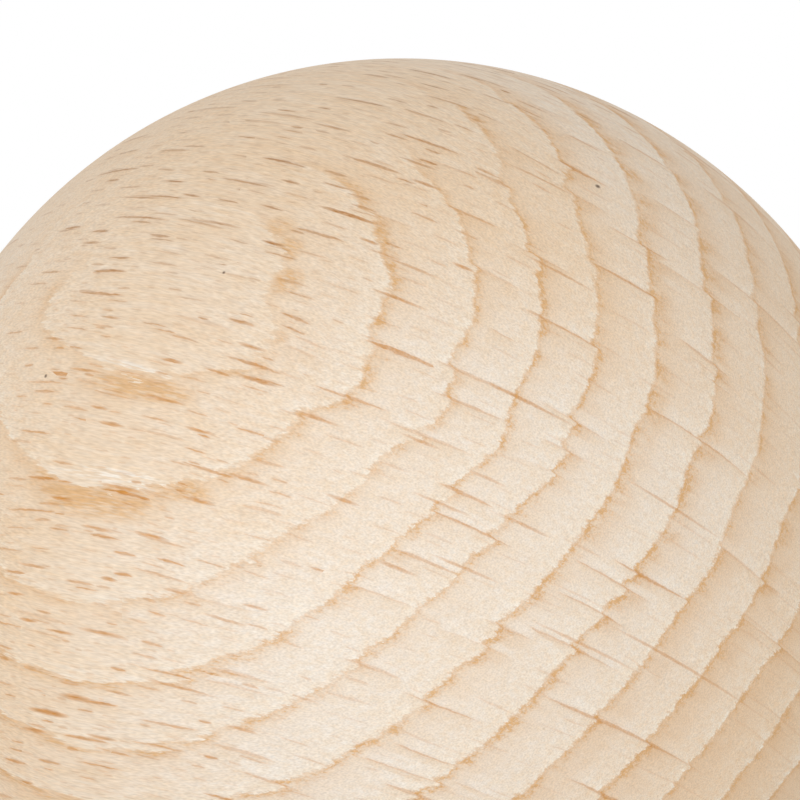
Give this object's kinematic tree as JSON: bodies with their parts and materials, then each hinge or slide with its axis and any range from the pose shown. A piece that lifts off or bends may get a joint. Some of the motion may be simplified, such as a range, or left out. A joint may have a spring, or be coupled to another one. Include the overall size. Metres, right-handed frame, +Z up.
{
  "type": "wooden ball",
  "caption": "Solid turned ball of plain sanded beech, smooth all round, with no bore, flat or stem.",
  "frame": {"origin": "centre of the ball", "axes": "+Z up, through the point that the ball is set down on; every axis through the centre is alike"},
  "size_m": [0.06, 0.06, 0.06],
  "materials": {
    "beech": "bare sanded beech, no varnish"
  },
  "bodies": {
    "root": {"ball": "beech"}
  },
  "joints": []
}
